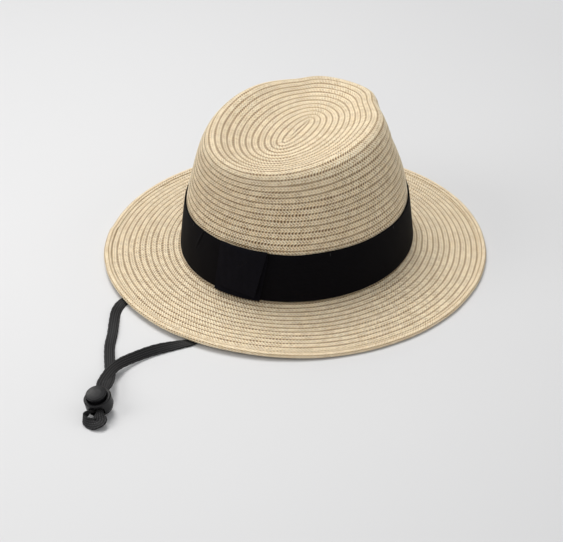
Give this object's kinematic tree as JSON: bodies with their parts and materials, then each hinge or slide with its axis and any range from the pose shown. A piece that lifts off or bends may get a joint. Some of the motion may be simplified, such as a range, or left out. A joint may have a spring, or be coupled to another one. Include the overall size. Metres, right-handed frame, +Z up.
{
  "type": "straw sun hat",
  "caption": "Sewn braid sun hat with a dented oval crown, wide brim, ribbon band with keeper, sweatband, and a chin cord through a push-button cord lock.",
  "frame": {"origin": "on the standing surface, below the centre of the brim", "axes": "+Z up through the crown, -Y towards the front of the hat, +X towards the wearer's left"},
  "size_m": [0.306, 0.4442, 0.123],
  "materials": {
    "straw": "natural paper-straw braid",
    "wire": "millinery wire",
    "ribbon": "black grosgrain ribbon",
    "thread": "black sewing thread",
    "sweatband": "woven sweatband tape",
    "label": "blank woven label",
    "cord": "flat knitted polyester cord",
    "lock_plastic": "satin moulded plastic",
    "spring_steel": "spring steel"
  },
  "bodies": {
    "root": {"straw_crown": "straw", "straw_crown_tip": "straw", "straw_brim": "straw", "brim_edge_braid": "straw", "brim_wire": "wire", "hatband_ribbon": "ribbon", "ribbon_keeper": "ribbon", "hatband_tacks": "thread", "sweatband": "sweatband", "sweatband_stitching": "thread", "blank_label": "label", "cord_tack_left": "cord", "cord_tack_right": "cord", "chin_cord": "cord"},
    "cord_lock": {"cord_lock_barrel": "lock_plastic", "cord_lock_spring": "spring_steel"},
    "lock_button": {"cord_lock_button": "lock_plastic"}
  },
  "joints": [
    {"name": "lock_slide", "type": "slide", "parent": "root", "child": "cord_lock", "axis": [-0.4145, 0.8951, -0.1646], "range_m": [-0.005, 0.003]},
    {"name": "button_press", "type": "slide", "parent": "cord_lock", "child": "lock_button", "axis": [-0.08, -0.216, -0.9731], "range_m": [0, 0.0018], "stiffness_N_per_m": 900, "springref_m": -0.001, "deforming": ["cord_lock_spring"]}
  ]
}
